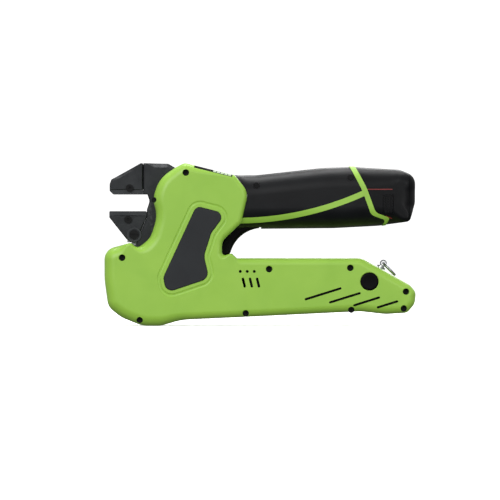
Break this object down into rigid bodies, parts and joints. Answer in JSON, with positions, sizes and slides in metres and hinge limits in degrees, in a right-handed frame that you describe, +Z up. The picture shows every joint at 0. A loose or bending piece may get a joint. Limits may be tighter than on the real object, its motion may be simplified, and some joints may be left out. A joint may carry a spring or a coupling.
{
  "type": "battery crimping tool",
  "caption": "Hand-held battery crimping tool with a fixed and a sliding jaw, a wedge drive in its lower tube and a slide-in battery in its handle.",
  "frame": {"origin": "bottom centre of the whole tool's box, under the middle of the lower tube", "axes": "+X towards the battery, with the jaws at -X; +Y out of the right half, away from the side button; +Z up"},
  "size_m": [0.294, 0.0548, 0.154],
  "materials": {
    "green_shell": "smooth moulded lime green plastic with a fine satin texture",
    "green_trim": "soft green overmould",
    "black_grip": "black soft-touch overmould with fine grain",
    "dark_panel": "dark grey satin panel, blank",
    "black_plastic": "black moulded plastic",
    "display": "smoked glossy window",
    "light_strip": "milky light bars",
    "battery_plastic": "dark grey battery case with fine texture",
    "red_seam": "dark red seam line",
    "dark_steel": "blackened forged steel",
    "die_steel": "dark ground tool steel",
    "screw_steel": "dark plated screw heads",
    "bright_steel": "bright turned steel",
    "cast_frame": "cast aluminium",
    "brass_parts": "machined brass",
    "motor_steel": "plated motor can",
    "copper_winding": "varnished windings",
    "board": "green circuit board",
    "lead_skin": "red insulated leads",
    "cell_wrap": "shrink-wrapped cells"
  },
  "bodies": {
    "housing": {"housing_left": "green_shell", "housing_right": "green_shell", "grip_left": "black_grip", "grip_right": "black_grip", "handle_stripe": "green_trim", "panel_left": "dark_panel", "panel_right": "dark_panel", "display_window": "display", "charge_lights": "light_strip", "trigger_pin": "bright_steel", "trigger_switch": "black_plastic", "button_seat": "black_plastic", "control_board": "board", "hang_eye": "bright_steel", "housing_screws": "screw_steel", "grip_screws": "screw_steel", "frame_plate_left": "dark_steel", "frame_plate_right": "dark_steel", "upper_jaw": "dark_steel", "upper_die": "die_steel", "upper_die_screw": "screw_steel", "frame_pins": "screw_steel", "return_spring": "bright_steel", "drive_channel": "cast_frame", "screw_bearing": "bright_steel", "bearing_block": "cast_frame", "ring_gear": "cast_frame", "motor_can": "motor_steel", "motor_magnets": "motor_steel", "motor_bearings": "bright_steel", "terminal_block": "black_plastic", "power_leads": "lead_skin"},
    "jaw": {"lower_jaw": "dark_steel", "lower_die": "die_steel", "lower_die_screw": "screw_steel", "jaw_stem": "bright_steel", "jaw_pin": "screw_steel", "jaw_pin_washer": "die_steel", "roller_pin": "bright_steel"},
    "roller": {"roller": "bright_steel"},
    "carriage": {"wedge_carriage": "bright_steel", "drive_nut": "brass_parts"},
    "screw": {"lead_screw": "bright_steel", "planet_carrier": "bright_steel"},
    "planet_1": {"planet_gear_1": "brass_parts"},
    "planet_2": {"planet_gear_2": "brass_parts"},
    "planet_3": {"planet_gear_3": "brass_parts"},
    "rotor": {"rotor": "copper_winding", "sun_gear": "bright_steel", "cooling_fan": "black_plastic"},
    "trigger": {"trigger": "black_plastic"},
    "button": {"side_button": "black_plastic"},
    "battery": {"battery_case": "battery_plastic", "battery_cells": "cell_wrap", "battery_cap": "battery_plastic", "battery_seam": "red_seam"},
    "latch_left": {"latch_left": "battery_plastic"},
    "latch_right": {"latch_right": "battery_plastic"},
    "ring": {"hang_ring": "bright_steel"}
  },
  "joints": [
    {"name": "rotor_spin", "type": "hinge", "parent": "housing", "child": "rotor", "pos_m": [0.06, 0, 0.037], "axis": [1, 0, 0], "range_deg": [0, 3600]},
    {"name": "screw_spin", "type": "hinge", "parent": "housing", "child": "screw", "pos_m": [0, 0, 0.037], "axis": [1, 0, 0], "range_deg": [0, 720]},
    {"name": "planet_1_spin", "type": "hinge", "parent": "screw", "child": "planet_1", "pos_m": [0.03, 0.0075, 0.037], "axis": [1, 0, 0], "range_deg": [-1920, 0]},
    {"name": "planet_2_spin", "type": "hinge", "parent": "screw", "child": "planet_2", "pos_m": [0.03, -0.00375, 0.04349], "axis": [1, 0, 0], "range_deg": [-1920, 0]},
    {"name": "planet_3_spin", "type": "hinge", "parent": "screw", "child": "planet_3", "pos_m": [0.03, -0.00375, 0.03051], "axis": [1, 0, 0], "range_deg": [-1920, 0]},
    {"name": "carriage_slide", "type": "slide", "parent": "housing", "child": "carriage", "axis": [-1, 0, 0], "range_m": [0, 0.02]},
    {"name": "jaw_slide", "type": "slide", "parent": "housing", "child": "jaw", "axis": [0, 0, 1], "range_m": [0, 0.015], "deforming": ["return_spring"]},
    {"name": "roller_spin", "type": "hinge", "parent": "jaw", "child": "roller", "pos_m": [-0.1175, 0, 0.03687], "axis": [0, 1, 0], "range_deg": [0, 205]},
    {"name": "trigger_pull", "type": "hinge", "parent": "housing", "child": "trigger", "pos_m": [-0.038, 0, 0.0705], "axis": [0, -1, 0], "range_deg": [0, 6], "stiffness_Nm_per_rad": 0.4, "springref_deg": -3.44},
    {"name": "button_press", "type": "slide", "parent": "housing", "child": "button", "axis": [0, 1, 0], "range_m": [0, 0.002], "stiffness_N_per_m": 500, "springref_m": -0.002},
    {"name": "battery_slide", "type": "slide", "parent": "housing", "child": "battery", "axis": [1, 0, 0], "range_m": [0, 0.09]},
    {"name": "latch_left_press", "type": "slide", "parent": "battery", "child": "latch_left", "axis": [0, 1, 0], "range_m": [0, 0.0015], "stiffness_N_per_m": 600, "springref_m": -0.0015},
    {"name": "latch_right_press", "type": "slide", "parent": "battery", "child": "latch_right", "axis": [0, -1, 0], "range_m": [0, 0.0015], "stiffness_N_per_m": 600, "springref_m": -0.0015},
    {"name": "ring_swing", "type": "hinge", "parent": "housing", "child": "ring", "pos_m": [0.1172, 0, 0.0592], "axis": [0, -1, 0], "range_deg": [0, 150]}
  ],
  "couplings": [
    {"joint": "rotor_spin", "follows": "carriage_slide", "rad_per_m": 3141.6},
    {"joint": "screw_spin", "follows": "carriage_slide", "rad_per_m": 628.32},
    {"joint": "planet_1_spin", "follows": "carriage_slide", "rad_per_m": -1675.5},
    {"joint": "planet_2_spin", "follows": "carriage_slide", "rad_per_m": -1675.5},
    {"joint": "planet_3_spin", "follows": "carriage_slide", "rad_per_m": -1675.5},
    {"joint": "jaw_slide", "follows": "carriage_slide", "ratio": 0.75},
    {"joint": "roller_spin", "follows": "carriage_slide", "rad_per_m": 178.57}
  ]
}
